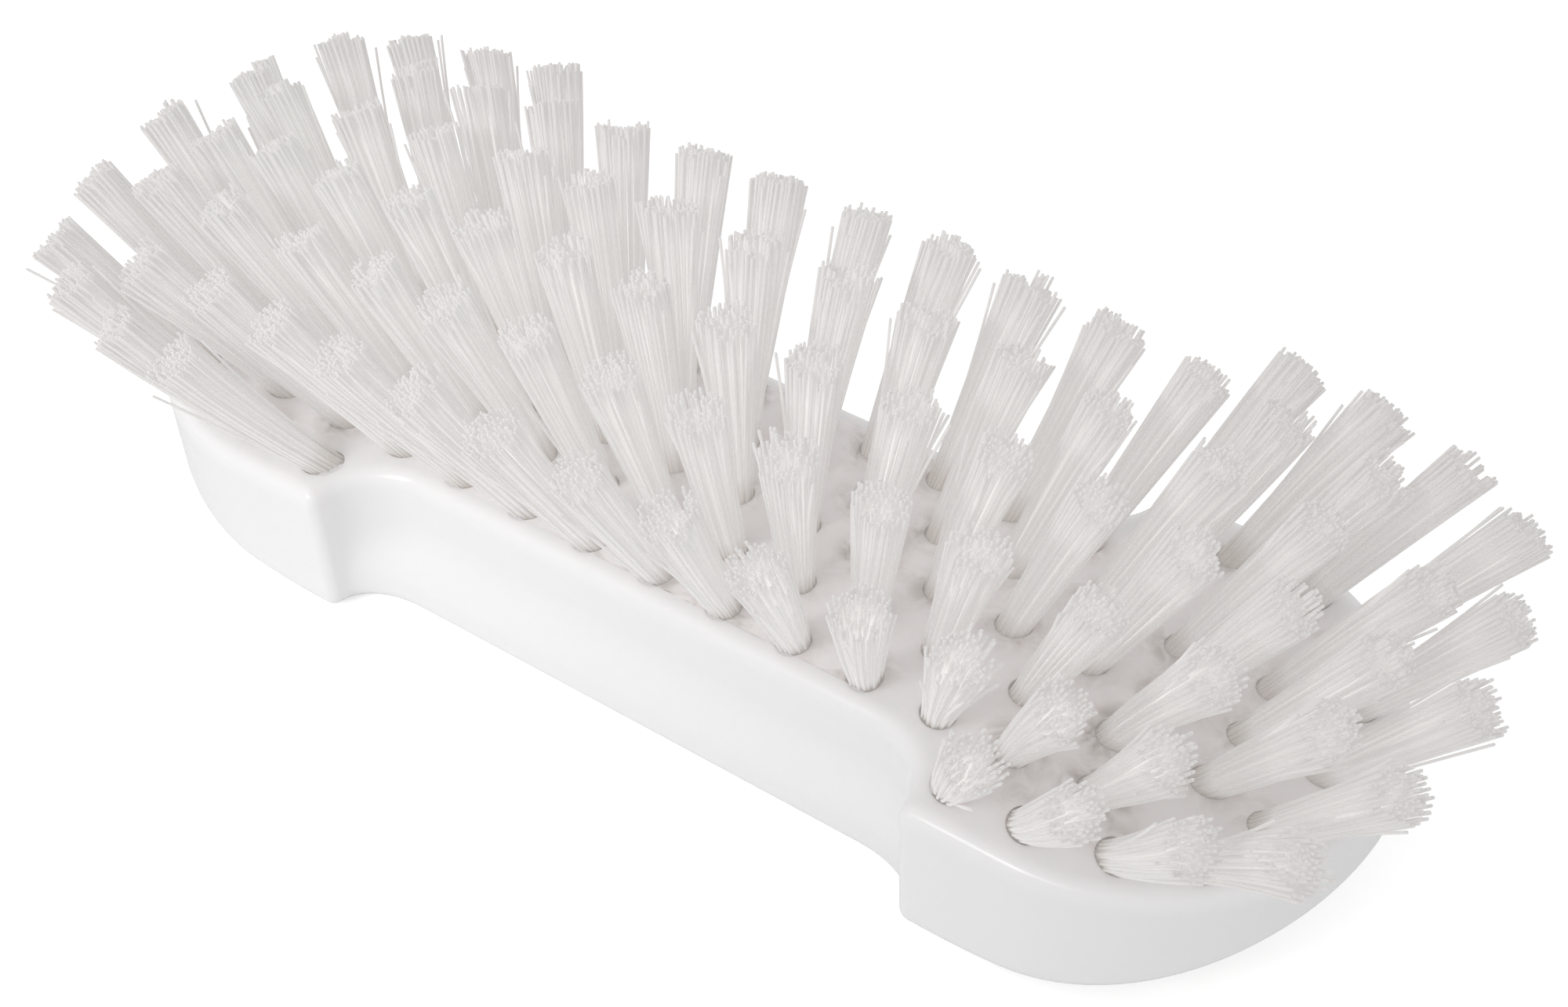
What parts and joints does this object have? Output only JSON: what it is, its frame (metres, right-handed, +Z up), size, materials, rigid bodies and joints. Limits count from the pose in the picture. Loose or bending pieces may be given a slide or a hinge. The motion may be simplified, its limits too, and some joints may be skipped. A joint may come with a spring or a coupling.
{
  "type": "scrub brush",
  "caption": "Hand scrub brush: a rounded moulded plastic block, waisted for the fingers, with stiff filament tufts that fan out from holes in its face.",
  "frame": {"origin": "on the surface that the back rests on, under the middle of the block", "axes": "+X along the block, +Y across it, +Z up out of the bristle face"},
  "size_m": [0.2152, 0.089, 0.0541],
  "materials": {
    "block_plastic": "satin white moulded plastic",
    "filament": "translucent white extruded filament"
  },
  "bodies": {
    "root": {"block": "block_plastic", "tuft_row_01": "filament", "tuft_row_02": "filament", "tuft_row_03": "filament", "tuft_row_04": "filament", "tuft_row_05": "filament", "tuft_row_06": "filament", "tuft_row_07": "filament", "tuft_row_08": "filament", "tuft_row_09": "filament", "tuft_row_10": "filament", "tuft_row_11": "filament", "tuft_row_12": "filament", "tuft_row_13": "filament", "tuft_row_14": "filament", "tuft_row_15": "filament", "tuft_row_16": "filament", "tuft_row_17": "filament", "tuft_row_18": "filament", "tuft_row_19": "filament", "tuft_row_20": "filament", "tuft_row_21": "filament", "tuft_row_22": "filament", "tuft_row_23": "filament", "tuft_row_24": "filament", "tuft_row_25": "filament"}
  },
  "joints": []
}
